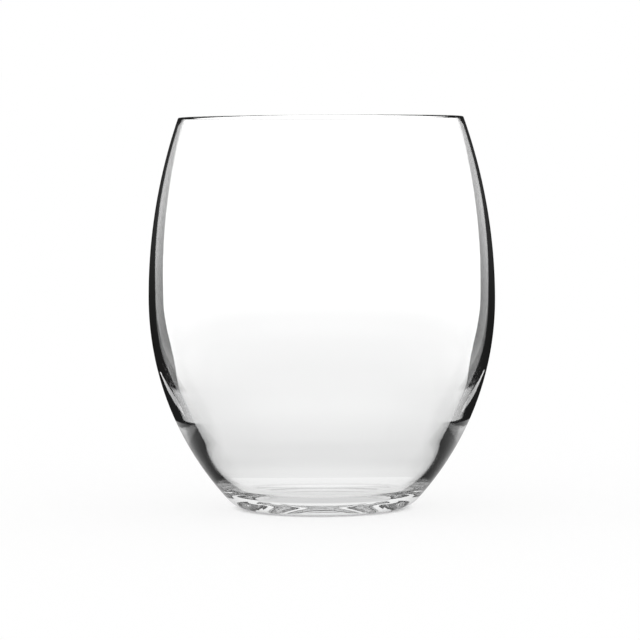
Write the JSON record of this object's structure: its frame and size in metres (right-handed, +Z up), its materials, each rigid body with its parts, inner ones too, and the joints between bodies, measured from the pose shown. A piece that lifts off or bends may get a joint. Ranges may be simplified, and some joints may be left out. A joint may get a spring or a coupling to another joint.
{
  "type": "water glass",
  "caption": "Clear stemless water glass with a barrel-shaped bowl that narrows to a thin rim, a wall that swells softly at the rounded heel, and a thin base with a very shallow hollow underneath.",
  "frame": {"origin": "centre of the foot ring, on the surface that the glass stands on", "axes": "+Z up along the axis of the glass, towards the mouth; X and Y are any two level directions, because the glass is round"},
  "size_m": [0.088, 0.088, 0.0995],
  "materials": {
    "clear_glass": "clear, colourless and fire polished"
  },
  "bodies": {
    "root": {"glass_body": "clear_glass"}
  },
  "joints": []
}
